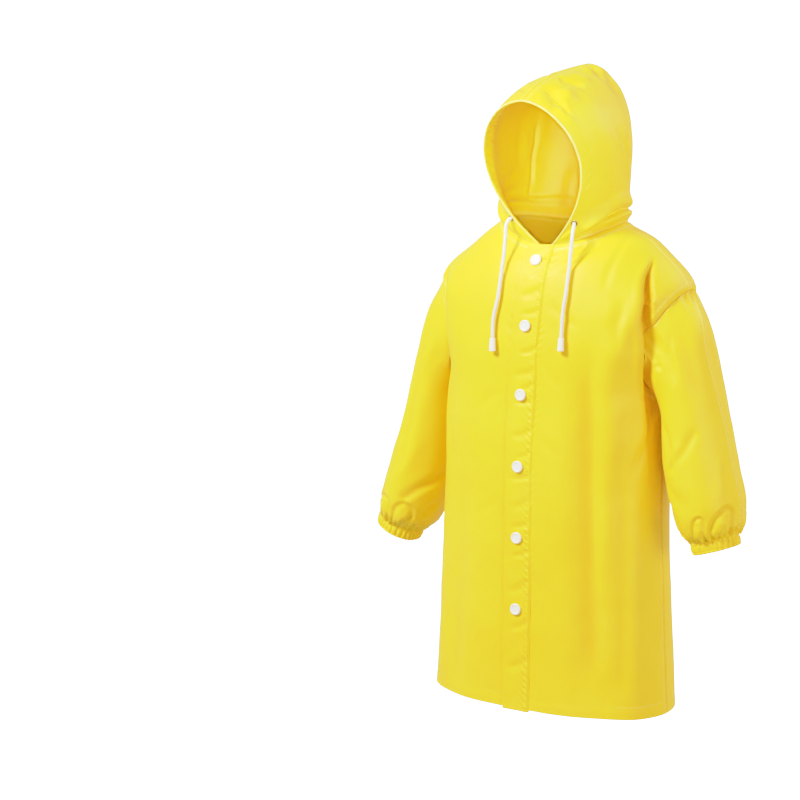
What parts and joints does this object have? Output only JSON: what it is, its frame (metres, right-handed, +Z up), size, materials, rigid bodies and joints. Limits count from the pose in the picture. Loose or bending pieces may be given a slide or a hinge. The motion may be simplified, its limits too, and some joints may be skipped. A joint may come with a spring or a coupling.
{
  "type": "child's hooded raincoat",
  "caption": "Child's hooded raincoat with a snap front, set-in sleeves on gathered cuffs and a drawcord hood, filled out as worn.",
  "frame": {"origin": "middle of the neck opening, where the coat rests on the wearer's shoulders", "axes": "+Z up along the coat, -Y to the front, +X to the wearer's left"},
  "size_m": [0.5881, 0.2314, 0.8937],
  "materials": {
    "coated_cloth": "soft coated cloth with a broad semi-matte sheen",
    "eyelet": "yellow lacquered ring",
    "snap": "white moulded cap, satin gloss",
    "cord": "white braided cord",
    "cord_tip": "white moulded tube, satin gloss"
  },
  "bodies": {
    "root": {"back": "coated_cloth", "front_left": "coated_cloth", "front_right": "coated_cloth", "placket": "coated_cloth", "hood_left": "coated_cloth", "hood_right": "coated_cloth", "hood_casing": "coated_cloth", "sleeve_left_front": "coated_cloth", "sleeve_left_back": "coated_cloth", "sleeve_right_front": "coated_cloth", "sleeve_right_back": "coated_cloth", "cuff_left": "coated_cloth", "cuff_right": "coated_cloth", "eyelet_left": "eyelet", "eyelet_right": "eyelet", "button_1": "snap", "button_2": "snap", "button_3": "snap", "button_4": "snap", "button_5": "snap", "button_6": "snap", "cord_left": "cord", "cord_right": "cord", "tip_left": "cord_tip", "tip_right": "cord_tip"}
  },
  "joints": []
}
